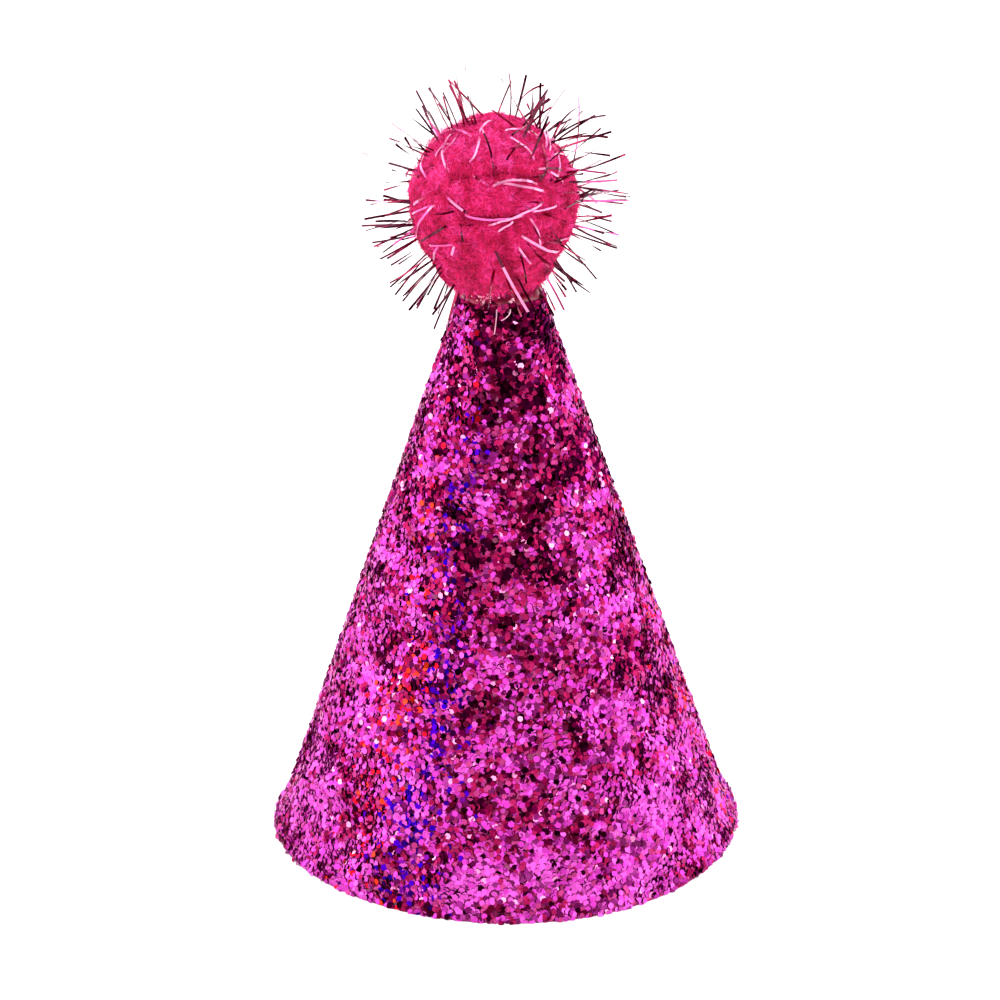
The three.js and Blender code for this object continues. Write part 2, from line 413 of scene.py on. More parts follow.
def tinsel_materials():
    """One pink metallised film in lit and shaded copies: painted shade where it mirrors dark
    surroundings, crimson and rose between, and a painted highlight.
    """
    return [
        plain_material("tinsel_painted_shade", (0.06, 0.0, 0.014), 0.2, metallic=1.0, Coat_Weight=0.4),
        plain_material("tinsel_crimson", (0.24, 0.003, 0.045), 0.18, metallic=1.0, Coat_Weight=0.5),
        plain_material("tinsel_rose", (0.7, 0.09, 0.32), 0.3, metallic=1.0, Coat_Weight=0.3),
        plain_material("tinsel_painted_highlight", (0.8, 0.27, 0.5), 0.38, metallic=0.9, Coat_Weight=0.3),
    ]


# ---------------------------------------------------------------- the rolled sheets


def smoothstep(value, low, high):
    share = np.clip((value - low) / (high - low), 0, 1)
    return share * share * (3 - 2 * share)


def cone_radius(angle, z):
    """Outside radius of the hat in a direction and at a height."""
    lobes = 1 + OUT_OF_ROUND * np.cos(3 * (angle - LOBE_ANGLE))
    flare = RIM_FLARE * np.maximum(0, 1 - z / FLARE_HEIGHT) ** 2
    return RIM_RADIUS * lobes * (1 - z / APEX_HEIGHT) + flare


def on_roll(seam, climb, turned, z, depth):
    """Points on a rolled sheet: turned is the angle from its start, and climb how far out its
    end lies from that start."""
    angle = seam + turned
    radius = cone_radius(angle, z) + climb * smoothstep(turned, TURN - RAMP, TURN) - depth
    return np.stack([radius * np.cos(angle), radius * np.sin(angle), z + 0 * radius], axis=-1)


def roll(name, seam, climb, outer_depth, thickness, materials, around=456, rows=60):
    """A rolled sheet as one closed skin, with a flat pattern of the sheet as its UV map.
    The materials are those of its outer face, its inner face and its cut edges."""
    turned = np.linspace(0, TURN + LAP, around + 1)[:, None]
    flared = np.linspace(0, FLARE_HEIGHT, 12, endpoint=False)
    z = np.concatenate([flared, np.linspace(FLARE_HEIGHT, CONE_HEIGHT, rows + 1)])[None, :]
    outer = on_roll(seam, climb, turned, z, outer_depth)
    inner = on_roll(seam, climb, turned, z, outer_depth + thickness)
    points = np.concatenate([outer.reshape(-1, 3), inner.reshape(-1, 3)])
    number = np.arange(outer[..., 0].size).reshape(around + 1, z.size)
    low, high = number[:-1, :-1].ravel(), number[1:, :-1].ravel()
    outside = np.stack([low, high, high + 1, low + 1], axis=1)
    inside = outside[:, ::-1] + number.size

    def edge(line):
        here, after = line[:-1], line[1:]
        return np.stack([here, after, after + number.size, here + number.size], axis=1)

    edges = [edge(number[::-1, 0]), edge(number[:, -1]), edge(number[0]), edge(number[-1, ::-1])]
    faces = [outside, inside, *edges]
    slots = [0] * len(outside) + [1] * len(inside) + [2] * sum(len(e) for e in edges)
    piece = add_piece(name, points, faces, slots, materials)
    flat_pattern(piece, number.size, turned, z)
    piece.data.polygons.foreach_set("use_smooth", np.array(slots) < 2)
    return piece


def flat_pattern(piece, per_face, turned, z):
    """UVs of the sheet laid out flat, in metres, so that a weave keeps its size."""
    slant = (APEX_HEIGHT - z) / math.cos(SIDE_SLOPE)
    spread = turned * math.sin(SIDE_SLOPE)
    flat = np.stack([slant * np.sin(spread), slant * np.cos(spread)], axis=-1).reshape(-1, 2)
    corner = np.zeros(len(piece.data.loops), np.int32)
    piece.data.loops.foreach_get("vertex_index", corner)
    layer = piece.data.uv_layers.new(name="flat_pattern")
    layer.data.foreach_set("uv", flat[corner % per_face].ravel().astype(np.float32))


def add_sheets():
    backing = roll(
        "glitter_sheet_backing",
        SHEET_SEAM,
        SHEET_THICKNESS + LAP_CLEARANCE,
        SHEET_THICKNESS - BACKING_THICKNESS,
        BACKING_THICKNESS,
        [resin_and_gap_shade_material(), backing_material(), bpy.data.materials["woven_backing"]],
    )
    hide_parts("glitter_sheet")
    card = roll(
        "card_cone",
        CARD_SEAM,
        -CARD_THICKNESS - LAP_CLEARANCE,
        CARD_DEPTH,
        CARD_THICKNESS,
        [card_material()] * 3,
    )
    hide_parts("inner_card_cone")
    return backing, card


# ---------------------------------------------------------------- the glitter flakes


def noise_at(points, scale, seed):
    """Soft noise at each point, from about -1 to 1."""
    shift = Vector((seed * 17.3, seed * 5.1, seed * 9.7))
    return np.array([noise.noise(Vector(p) * scale + shift) for p in points])


def scatter_flakes(pitch):
    """Turns and heights of flakes, one to each pitch of surface, in jittered rows."""
    slant = CONE_HEIGHT / math.cos(SIDE_SLOPE)
    rows = int(slant / (pitch * math.sqrt(0.75)))
    turns, heights = [], []
    for row in range(rows):
        z = (row + 0.5) / rows * CONE_HEIGHT
        count = int((TURN + LAP) * RIM_RADIUS * (1 - z / APEX_HEIGHT) / pitch)
        along = (np.arange(count) + 0.5 * (row % 2) + rng.uniform(-JITTER, JITTER, count)) / count
        turns.append(along * (TURN + LAP))
        heights.append(z + rng.uniform(-JITTER, JITTER, count) * pitch)
    turned, z = np.concatenate(turns), np.concatenate(heights)
    shown = (turned > LAP * 0.8) & (z > BARE_RIM) & (z < CONE_HEIGHT + BARE_RIM)
    return turned[shown], z[shown]


def flake_layer(pitch, depth, tilt):
    """Centres, facing directions and turns of one layer of flakes, lying at a depth under the
    hat's outside. Each has a tilt of its own on top of a shared, slowly changing one, which makes
    patches of flakes flash or go dark together."""
    turned, z = scatter_flakes(pitch)
    count = len(turned)
    depths = depth + rng.normal(0, DEPTH_SPREAD, count)
    climb = SHEET_THICKNESS + LAP_CLEARANCE
    centre = on_roll(SHEET_SEAM, climb, turned, z, depths)
    angle = SHEET_SEAM + turned
    across = np.stack([-np.sin(angle), np.cos(angle), 0 * angle], axis=-1)
    out = np.stack([np.cos(angle), np.sin(angle), 0 * angle], axis=-1)
    out = out * math.cos(SIDE_SLOPE) + np.array([0, 0, math.sin(SIDE_SLOPE)])
    upslope = np.cross(out, across)
    shared = np.stack([noise_at(centre, 190.0, 11), noise_at(centre, 190.0, 12)])
    tilts = rng.normal(0, tilt, (2, count)) + SHARED_TILT * shared
    lean = np.tan(tilts.clip(-MOST_TILT, MOST_TILT))
    facing = out + lean[0][:, None] * across + lean[1][:, None] * upslope
    facing /= np.linalg.norm(facing, axis=1, keepdims=True)
    return centre, facing, angle


def flake_colors(centre, angle):
    """Which material each flake has. Pink is everywhere, darker flakes gather in soft patches and,
    as painted shade, towards the tip and in bands from the front, most of all towards the tip on
    its right; the foot is lighter, as painted light. The rainbow ones lie in bands up the cone, and
    a few nearly white ones are painted glints."""
    count = len(centre)
    patch = 0.8 * noise_at(centre, 130.0, 1) + 1.3 * noise_at(centre, 420.0, 2)
    height = centre[:, 2] / CONE_HEIGHT
    tip = smoothstep(height, 0.35, 0.9)
    foot = 1 - smoothstep(height, 0.0, 0.45)
    right = tip * np.maximum(0, np.cos(angle)) ** 2
    # Painted shade: a darker band at the front, where the flakes mirror the dark side towards the
    # camera, repeated twice more round the cone and growing up it; the last term darkens the upper
    # right.
    zone = np.cos(3 * (angle - FRONT)) * (0.06 + 0.07 * height) + DARKER_RIGHT * right
    darkness = DARKNESS_BASE + DARKNESS_BY_CHANCE * rng.uniform(0, 1, count)
    darkness = darkness + DARKNESS_BY_PATCH * patch + zone
    # Painted shade towards the tip and painted light at the foot.
    darkness += PAINTED_SHADE_TIP * tip - PAINTED_LIGHT_FOOT * foot
    kind = np.searchsorted(np.array(COLOR_SHARES), darkness)
    wander = 0.16 * noise_at(centre, 45.0, 3)
    fade = 1 - 0.8 * tip
    chance = rng.uniform(0, 1, count)
    for middle in RAINBOW_BANDS:
        blue_off = np.abs((angle - middle + wander + math.pi) % TURN - math.pi)
        warm_off = np.abs((angle - middle + wander + BAND_SHIFT + math.pi) % TURN - math.pi)
        blue = chance < BLUE_SHARE * fade * np.exp(-((blue_off / BAND_WIDTH) ** 2))
        warm = 1 - chance < WARM_SHARE * fade * np.exp(-((warm_off / BAND_WIDTH) ** 2))
        kind[blue] = rng.choice([PURPLE, VIOLET, VIOLET, BLUE], blue.sum())
        kind[warm] = rng.choice([ORANGE, RED, RED], warm.sum())
    lot = rng.uniform(0, 1, count)
    kind[lot < BLACK_SHARE] = BLACK
    # Painted glints.
    kind[lot > 1 - PAINTED_GLINT_SHARE] = PAINTED_GLINT
    return kind


def add_flakes(backing):
    """Hexagonal flakes, each a thin closed plate, bonded in layers all over the backing."""
    layers = [flake_layer(*layer) for layer in FLAKE_LAYERS]
    centre, facing, angle = (np.concatenate(part) for part in zip(*layers))
    points = flake_plates(centre, facing)
    kind = flake_colors(centre, angle)
    materials = flake_materials()
    sector = ((angle - SHEET_SEAM) / (TURN + LAP) * FLAKE_SECTORS).astype(int)
    for index in range(FLAKE_SECTORS):
        chosen = np.flatnonzero(sector == index)
        piece = flake_piece(f"flakes_sector_{index + 1}", points[chosen], kind[chosen], materials)
        piece.parent = backing
    strays = stray_flakes()
    kind = rng.choice([ROSE, RASPBERRY, CRIMSON, RUBY, RUBY, MAROON, BLACK], len(strays))
    flake_piece("flakes_on_glue", strays, kind, materials).parent = backing


def stray_flakes(count=170):
    """Loose flakes that stuck to the glue squeezed out of the cone's mouth."""
    around = rng.uniform(0, TURN, count)
    up = rng.uniform(0.0, 1.0, count)
    reach = (6.1 - 0.35 * up + rng.normal(0, 0.05, count)) * MM
    out = np.stack([np.cos(around), np.sin(around), 0 * around], axis=-1)
    centre = out * reach[:, None] + np.array([0, 0, 1]) * (CONE_HEIGHT + 0.9 * MM * up)[:, None]
    facing = out + np.array([0, 0, 0.45]) + rng.normal(0, 0.3, (count, 3))
    return flake_plates(centre, facing / np.linalg.norm(facing, axis=1, keepdims=True))


def flake_plates(centre, facing):
    """The twelve corners of each hexagonal flake, none of them below the rim."""
    count = len(centre)
    side = np.cross(facing, rng.normal(0, 1, (count, 3)))
    side /= np.linalg.norm(side, axis=1, keepdims=True)
    other = np.cross(facing, side)
    reach = FLAKE_ACROSS / math.sqrt(3) * rng.uniform(0.86, 1.08, count)
    corner = (np.arange(6) * TURN / 6)[None, :, None]
    plate = np.cos(corner) * side[:, None] + np.sin(corner) * other[:, None]
    plate = centre[:, None] + plate * reach[:, None, None]
    lift = facing[:, None] * FLAKE_THICKNESS / 2
    points = np.concatenate([plate + lift, plate - lift], axis=1)
    points[..., 2] = points[..., 2].clip(BARE_RIM / 2)
    return points


def flake_piece(name, points, kind, materials):
    count = len(points)
    first = np.arange(count)[:, None] * 12
    top = first + np.arange(6)
    bottom = first + np.arange(11, 5, -1)
    k = np.arange(6)
    walls = np.stack([k, k + 6, (k + 1) % 6 + 6, (k + 1) % 6], axis=1)
    sides = (first[..., None] + walls).reshape(-1, 4)
    slots = np.concatenate([kind, kind, np.repeat(kind, 6)])
    piece = add_piece(name, points, [top, bottom, sides], slots, materials)
    return piece


# ---------------------------------------------------------------- the pom-pom


def ball_directions(count):
    """Directions spread evenly and at random over a ball."""
    up = rng.uniform(-1, 1, count)
    around = rng.uniform(0, TURN, count)
    level = np.sqrt(1 - up * up)
    return np.stack([level * np.cos(around), level * np.sin(around), up], axis=-1)


def seen_from_front(across, up):
    """The direction from the ball's middle to the point of it that is seen, from the front and a
    little above, at these shares of its radius from its middle."""
    up = up - FRONT_DROP
    toward = np.sqrt(np.maximum(0, 1 - across**2 - up**2))
    y = up * math.sin(FRONT_TILT) - toward * math.cos(FRONT_TILT)
    z = up * math.cos(FRONT_TILT) + toward * math.sin(FRONT_TILT)
    direction = np.stack([across, y, z], axis=-1)
    return direction / np.linalg.norm(direction, axis=-1, keepdims=True)


def creases(direction):
    """Depth of the creases that the wound thread has pulled into the ball."""
    depth = np.zeros(len(direction))
    for start, end, deep in CREASES:
        a, b = seen_from_front(*np.array(start)), seen_from_front(*np.array(end))
        pole = np.cross(a, b)
        pole /= np.linalg.norm(pole)
        middle = (a + b) / np.linalg.norm(a + b)
        along = 1 - smoothstep(np.arccos((direction @ middle).clip(-1, 1)), 0.3, 1.0)
        wander = 0.07 * noise_at(direction * LUMP_RADIUS, 0.35, 9)
        depth += deep * along * np.exp(-(((direction @ pole + wander) / 0.075) ** 2))
    return depth


def ball_surface(direction):
    """Distance from the ball's middle to its lumpy, matted surface."""
    x, y, z = direction.T
    smooth = 1 / np.sqrt((x * x + y * y) / BALL_RADIUS**2 + z * z / BALL_HALF_HEIGHT**2)
    points = direction * LUMP_RADIUS
    lumps = 0.42 * noise_at(points, 0.22, 4) + 0.3 * noise_at(points, 0.55, 5) - creases(direction)
    crown = 0.75 * smoothstep(z, 0.1, 0.95)
    foot = 1.0 * (smoothstep(-z, 0.68, 0.88) - smoothstep(-z, 0.93, 0.985))
    return smooth + (lumps - crown + foot - 0.65) * MM


def add_core():
    shape = bmesh.new()
    bmesh.ops.create_icosphere(shape, subdivisions=6, radius=1.0)
    direction = np.array([v.co.normalized() for v in shape.verts])
    fine = 0.12 * noise_at(direction * LUMP_RADIUS, 1.8, 6) * MM
    reach = ball_surface(direction) + fine
    for vertex, point in zip(shape.verts, direction * reach[:, None] + np.array(BALL_CENTRE)):
        vertex.co = point
    mesh = bpy.data.meshes.new("pompom_core")
    shape.to_mesh(mesh)
    shape.free()
    mesh.polygons.foreach_set("use_smooth", [True] * len(mesh.polygons))
    made = plain_material("fibre_core", (0.8, 0.01, 0.1), 0.95, Sheen_Weight=0.3)
    place = mottle(made, (0.5, 0.0, 0.04), (0.95, 0.02, 0.16), 420.0, detail=6.0)
    roughen(made, place, 1500.0, 0.9, 0.25 * MM)
    mesh.materials.append(made)
    core = bpy.data.objects.new("pompom_core", mesh)
    bpy.context.scene.collection.objects.link(core)
    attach(core, BODY)
    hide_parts("pompom_fibre_ball")
    return core


def add_fibres(core, count=54000, groups=3):
    """Crimped fibres matted over the ball: most dip back into it, and some ends stand free."""
    direction = ball_directions(count)
    root = ball_surface(direction) - 0.15 * MM
    across = np.cross(direction, rng.normal(0, 1, (count, 3)))
    across /= np.linalg.norm(across, axis=1, keepdims=True)
    beside = np.cross(direction, across)
    free = rng.uniform(0, 1, count) < FREE_FIBRE_SHARE
    length = rng.uniform(1.0, 2.4, count) * MM
    height = np.where(free, rng.uniform(0.5, 1.2, count), rng.uniform(0.2, 0.6, count)) * MM
    steps = np.linspace(0, 1, 6)
    rise = np.where(free[:, None], steps**1.2, np.sin(math.pi * steps) ** 0.8)
    waves = rng.uniform(0.5, 1.6, (count, 1))
    wave = np.sin(TURN * steps * waves + rng.uniform(0, TURN, (count, 1)))
    run = np.where(free, 0.45, 1.0)[:, None] * length[:, None] * (steps - 0.5)
    sway = rng.uniform(0.1, 0.4, (count, 1)) * MM * wave
    line = (
        direction[:, None] * (root[:, None] + height[:, None] * rise)[..., None]
        + across[:, None] * run[..., None]
        + beside[:, None] * sway[..., None]
    )
    line += np.array(BALL_CENTRE)
    facing = direction + 0.7 * rng.normal(0, 1, (count, 3))
    kind = fibre_shades(direction, free)
    materials = fibre_materials()
    for index in range(groups):
        chosen = np.arange(index, count, groups)
        width = rng.uniform(*FIBRE_WIDTH, len(chosen))
        name = f"pompom_fibres_{index + 1}"
        piece = ribbons(name, line[chosen], facing[chosen], width, kind[chosen], materials)
        piece.parent = core


def fibre_shades(direction, free):
    """Painted light and shade over a soft random mottle: fibres are lighter on top, where the light
    falls, and at their free ends, standing in for light through them at the outline, and darker
    down the creases, as painted shade.
    """
    points = direction * LUMP_RADIUS
    shade = 0.8 * noise_at(points, 0.5, 7) + 1.2 * noise_at(points, 1.6, 8)
    # Painted shade down the creases.
    shade -= 1.1 * creases(direction)
    # Painted light on top and at the free ends, and a little chance.
    shade += 0.35 * direction[:, 2] + 0.4 * free + rng.normal(0, 0.2, len(direction))
    return len(SHADE_LEVELS) - np.digitize(shade, SHADE_LEVELS)


def ribbons(name, line, facing, width, kind, materials):
    """Flat ribbons along lines of points, each lying square to its facing direction."""
    count, steps = line.shape[:2]
    along = np.gradient(line, axis=1)
    side = np.cross(along, facing[:, None])
    side /= np.linalg.norm(side, axis=2, keepdims=True) + 1e-12
    taper = np.linspace(1, 0.6, steps)[None, :, None]
    half = side * width[:, None, None] / 2 * taper
    points = np.stack([line - half, line + half], axis=2)
    first = (np.arange(count)[:, None] * steps + np.arange(steps - 1)) * 2
    first = first.reshape(-1, 1)
    faces = first + np.array([0, 1, 3, 2])
    return add_piece(name, points, [faces], np.repeat(kind, steps - 1), materials, smooth=True)


def add_fringe(core, count=1500):
    """Stray fibres at the ball's foot, hanging ragged over the glue."""
    around = rng.uniform(0, TURN, count)
    dip = rng.uniform(0.84, 0.93, count)
    level = np.sqrt(1 - dip * dip)
    direction = np.stack([level * np.cos(around), level * np.sin(around), -dip], axis=-1)
    start = np.array(BALL_CENTRE) + direction * ball_surface(direction)[:, None]
    drop = rng.uniform(0.2, 1.0, (count, 1)) * MM * np.array([0, 0, -1])
    end = start + drop + rng.normal(0, 0.35 * MM, (count, 3))
    middle = (start + end) / 2 + rng.normal(0, 0.2 * MM, (count, 3))
    share = np.linspace(0, 1, 5)[None, :, None]
    line = (
        (1 - share) ** 2 * start[:, None]
        + 2 * share * (1 - share) * middle[:, None]
        + share**2 * end[:, None]
    )
    line[..., 2] = line[..., 2].clip(CONE_HEIGHT + 0.7 * MM)
    facing = direction + 0.7 * rng.normal(0, 1, (count, 3))
    kind = rng.choice(FRINGE_SHADES, count)
    width = rng.uniform(*FIBRE_WIDTH, count)
    fringe = ribbons("pompom_fringe_fibres", line, facing, width, kind, fibre_materials())
    fringe.parent = core


# ---------------------------------------------------------------- tinsel


def film_strips(name, line, facing, width, thickness, kind, materials):
    """Closed flat strips along lines of points, as slit film."""
    count, steps = line.shape[:2]
    along = np.gradient(line, axis=1)
    along /= np.linalg.norm(along, axis=2, keepdims=True)
    side = np.cross(along, facing)
    side /= np.linalg.norm(side, axis=2, keepdims=True)
    face = np.cross(side, along)
    half, skin = side * width[:, None, None] / 2, face * thickness / 2
    ring = [line - half - skin, line + half - skin, line + half + skin, line - half + skin]
    points = np.stack(ring, axis=2)
    first = (np.arange(count)[:, None] * steps + np.arange(steps - 1)) * 4
    k = np.arange(4)
    walls = np.stack([k, (k + 1) % 4, (k + 1) % 4 + 4, k + 4], axis=1)
    faces = (first.reshape(-1, 1, 1) + walls).reshape(-1, 4)
    start = np.arange(count)[:, None] * steps * 4
    caps = np.concatenate([start + k[::-1], start + (steps - 1) * 4 + k])
    slots = np.concatenate([np.repeat(kind.ravel(), 4), kind[:, 0], kind[:, -1]])
    return add_piece(name, points, [faces, caps], slots, materials)


def dashes(count, steps, shares, change):
    """Which material each step of each thread shows: painted shade and painted highlights that
    change, now and then, along the thread.
    """
    kind = np.searchsorted(np.array(shares), rng.uniform(0, 1, (count, steps - 1)))
    for step in range(1, steps - 1):
        same = rng.uniform(0, 1, count) > change
        kind[same, step] = kind[same, step - 1]
    return kind


def bezier(start, middle, end, steps):
    share = np.linspace(0, 1, steps)[:, None]
    return (1 - share) ** 2 * start + 2 * share * (1 - share) * middle + share**2 * end


def cad_thread_line(node, steps):
    """A CAD tinsel thread's middle line, from its root to its tip."""
    points = np.array([v.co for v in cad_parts[node].data.vertices])
    far = np.linalg.norm(points - np.array(BALL_CENTRE), axis=1)
    order = np.argsort(far)
    share = (far - far.min()) / (far.max() - far.min())
    root, tip = points[order[:4]].mean(axis=0), points[order[-4:]].mean(axis=0)
    waist = points[np.abs(share - 0.5) < 0.12].mean(axis=0)
    return bezier(root, 2 * waist - (root + tip) / 2, tip, steps)


def thread_lines(start, end, reach, steps):
    """Nearly straight threads, out of the ball along start and leaning over to end."""
    root = np.array(BALL_CENTRE) + start * (BALL_RADIUS - 1.5 * MM)
    tip = np.array(BALL_CENTRE) + end * (BALL_RADIUS + reach[:, None])
    middle = (root + tip) / 2 + rng.normal(0, 0.2 * MM, root.shape)
    return np.stack([bezier(a, b, c, steps) for a, b, c in zip(root, middle, tip)])


def unit(vectors):
    return vectors / np.linalg.norm(vectors, axis=-1, keepdims=True)


def outline_threads(steps):
    """The tufts that stand round the ball's outline, as it is seen from the front."""
    lines = []
    for degrees, count, longest, lean in OUTLINE_TUFTS:
        turn = math.radians(degrees)
        home = np.array(seen_from_front(np.cos(turn), np.sin(turn)))
        start = unit(home + rng.normal(0, 0.09, (count, 3)))
        end = unit(start + rng.normal(0, lean, (count, 3)))
        reach = longest * MM * rng.uniform(0.6, 1.12, count)
        lines.append(thread_lines(start, end, reach, steps))
    return np.concatenate(lines)


def scattered_threads(count, steps):
    """More threads, in loose tufts all over the ball."""
    tufts = ball_directions(40)
    home = tufts[rng.integers(0, len(tufts), count)]
    start = unit(home + rng.normal(0, 0.13, (count, 3)))
    start = start[start[:, 2] > -0.75]
    end = unit(start + rng.normal(0, 0.14, start.shape))
    return thread_lines(start, end, rng.uniform(2.5, 7.2, len(start)) * MM, steps)


def resting_lines(middles, ends_a, ends_b, lift, steps):
    """Threads that follow the ball's surface through three directions and dive in at both ends."""
    share = np.linspace(0, 1, steps)[None, :, None]
    line = (
        ends_a[:, None] * (2 * (share - 0.5) * (share - 1))
        + middles[:, None] * (4 * share * (1 - share))
        + ends_b[:, None] * (2 * share * (share - 0.5))
    )
    line = unit(line)
    surface = ball_surface(line.reshape(-1, 3)).reshape(line.shape[:2])
    arch = np.sin(math.pi * share[..., 0]) ** 0.5
    reach = surface + (0.05 + (0.45 + lift[:, None]) * arch) * MM
    return np.array(BALL_CENTRE) + line * reach[..., None]


def front_threads(steps):
    """The threads that lie across the front of the ball."""
    routes = np.array(FRONT_THREADS)
    a, b, c = (seen_from_front(routes[:, k, 0], routes[:, k, 1]) for k in range(3))
    return resting_lines(b, a, c, rng.uniform(0.1, 0.5, len(routes)), steps)


def lying_threads(count, steps):
    """Threads combed flat over the rest of the ball."""
    direction = ball_directions(count)
    direction = direction[direction[:, 1] > -0.45]
    across = unit(np.cross(direction, rng.normal(0, 1, direction.shape)))
    bow = unit(np.cross(direction, across)) * rng.normal(0, 0.05, (len(direction), 1))
    sweep = rng.uniform(0.15, 0.42, (len(direction), 1))
    a, c = unit(direction - sweep * across + bow), unit(direction + sweep * across + bow)
    return resting_lines(direction, a, c, rng.uniform(-0.1, 0.5, len(direction)), steps)


def bent_threads(steps):
    """The bent threads, in the plane through the ball's middle that faces the front."""
    lines = []
    for route in BENT_THREADS:
        across, up = (np.array(route) - np.array([0, FRONT_DROP])).T * BALL_RADIUS
        y = up * math.sin(FRONT_TILT) + rng.normal(0, 0.8 * MM, 3)
        a, b, c = np.array(BALL_CENTRE) + np.stack([across, y, up * math.cos(FRONT_TILT)], axis=-1)
        lines.append(bezier(a, b, c, steps))
    return np.stack(lines)


def hanging_thread(steps):
    """The one thread that hangs from the ball's front over the mouth of the cone."""
    start, middle, end = (
        np.array(BALL_CENTRE) + np.array(place) * MM
        for place in ((0.2, -11.1, -3.8), (1.9, -10.3, -8.2), (4.5, -8.2, -13.5))
    )
    return bezier(start, middle, end, steps)[None]


def add_tinsel(core, steps=12):
    nodes = sorted(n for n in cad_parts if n.startswith("tinsel_thread_"))
    from_cad = np.stack([cad_thread_line(node, steps) for node in nodes])
    outline = np.concatenate([outline_threads(steps), bent_threads(steps)])
    scattered = scattered_threads(60, steps)
    front = np.concatenate([front_threads(steps), hanging_thread(steps)])
    lying = lying_threads(70, steps)
    # Shares of the four tinsel colours: threads at the outline mostly in painted shade, threads
    # lying over the ball mostly in painted highlight.
    mostly_painted_shade, mostly_painted_highlight = (0.6, 0.9, 0.97), (0.05, 0.14, 0.45)
    groups = {
        "tinsel_threads": (from_cad, mostly_painted_shade, 3.0),
        "tinsel_threads_outline": (outline, mostly_painted_shade, 3.0),
        "tinsel_threads_scattered": (scattered, mostly_painted_shade, 3.0),
        "tinsel_threads_front": (front, mostly_painted_highlight, 0.0),
        "tinsel_threads_lying": (lying, mostly_painted_highlight, 0.0),
    }
    materials = tinsel_materials()
    for name, (line, shares, twist) in groups.items():
        count = len(line)
        outward = line - np.array(BALL_CENTRE)
        if twist:
            lead = unit(line[:, -1] - line[:, 0])[:, None]
            one = unit(np.cross(lead, rng.normal(0, 1, (count, 1, 3))))
            other = np.cross(lead, one)
            begin = rng.uniform(0, TURN, (count, 1, 1))
            share = np.linspace(0, 1, steps)[None, :, None]
            turned = begin + rng.uniform(-twist, twist, (count, 1, 1)) * share
            outward = np.cos(turned) * one + np.sin(turned) * other
        kind = dashes(count, steps, shares, 0.22)
        width = rng.uniform(*FILM_WIDTH, count)
        if name == "tinsel_threads_front":
            # The hanging thread: painted shade at its root and a painted highlight along the rest.
            kind[-1] = [0] * 3 + [3] * (steps - 4)
            width[-1] = FILM_WIDTH[1]
        piece = film_strips(name, line, outward, width, FILM_THICKNESS, kind, materials)
        piece.parent = core
        if name == "tinsel_threads":
            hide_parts(*nodes)


# ---------------------------------------------------------------- glue and thread


def glue_point(profile_step, turn):
    """A point of the glue plug's lumpy skin: its profile's radius and height, bulged by noise."""
    radius, height, lump = profile_step
    place = Vector((math.cos(turn) * 2.2, math.sin(turn) * 2.2, height * 0.9))
    swell = lump * (noise.noise(place) + 0.5 * noise.noise(place * 3.1))
    reach = radius + swell
    rise = height + 0.6 * lump * noise.noise(place * 1.7 + Vector((5, 0, 0)))
    return (reach * math.cos(turn) * MM, reach * math.sin(turn) * MM, rise * MM)


def add_tip_glue():
    """The plug of hot glue in the cone's mouth, with a bead squeezed out over the cut edge."""
    low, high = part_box("tip_hot_glue")
    bottom, mouth, top = low.z / MM, CONE_HEIGHT / MM, high.z / MM
    slimmest = RIM_RADIUS * (1 - OUT_OF_ROUND)
    foot = (slimmest * (1 - low.z / APEX_HEIGHT) - CARD_DEPTH) / MM - GLUE_INSET
    neck = (slimmest * (1 - CONE_HEIGHT / APEX_HEIGHT) - CARD_DEPTH) / MM - GLUE_INSET
    profile = [
        (0.02, bottom + 0.1, 0.0),
        (1.2, bottom + 0.1, 0.1),
        (foot * 0.6, bottom + 0.15, 0.15),
        (foot * 0.9, bottom + 0.35, 0.1),
        (foot, bottom + 0.9, 0.04),
        (neck, mouth - 0.3, 0.03),
        (neck + 0.1, mouth + 0.25, 0.02),
        (4.9, mouth + 0.28, 0.05),
        (5.6, mouth + 0.34, 0.3),
        (5.85, mouth + 0.75, 0.4),
        (5.5, mouth + 1.2, 0.45),
        (4.9, top - 0.25, 0.35),
        (4.1, top - 0.35, 0.2),
        (3.2, mouth + 1.0, 0.15),
        (2.2, mouth + 0.7, 0.1),
        (0.02, mouth + 0.6, 0.0),
    ]
    around = 120
    points = [glue_point(step, TURN * k / around) for step in profile for k in range(around)]
    number = np.arange(len(points)).reshape(len(profile), around)
    after = np.roll(number, -1, axis=1)
    skin = np.stack([number[:-1], after[:-1], after[1:], number[1:]], axis=-1).reshape(-1, 4)
    caps = [number[:1, ::-1], number[-1:]]
    slots = np.zeros(len(skin) + 2)
    # Dark crimson glue: partly the pink fibres caught in it, partly painted shade under the ball.
    glue = glue_material("hot_glue", (0.12, 0.0, 0.015), (0.4, 0.02, 0.08))
    plug = add_piece("tip_glue_plug", points, [skin, *caps], slots, [glue], smooth=True)
    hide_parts("tip_hot_glue")
    return plug


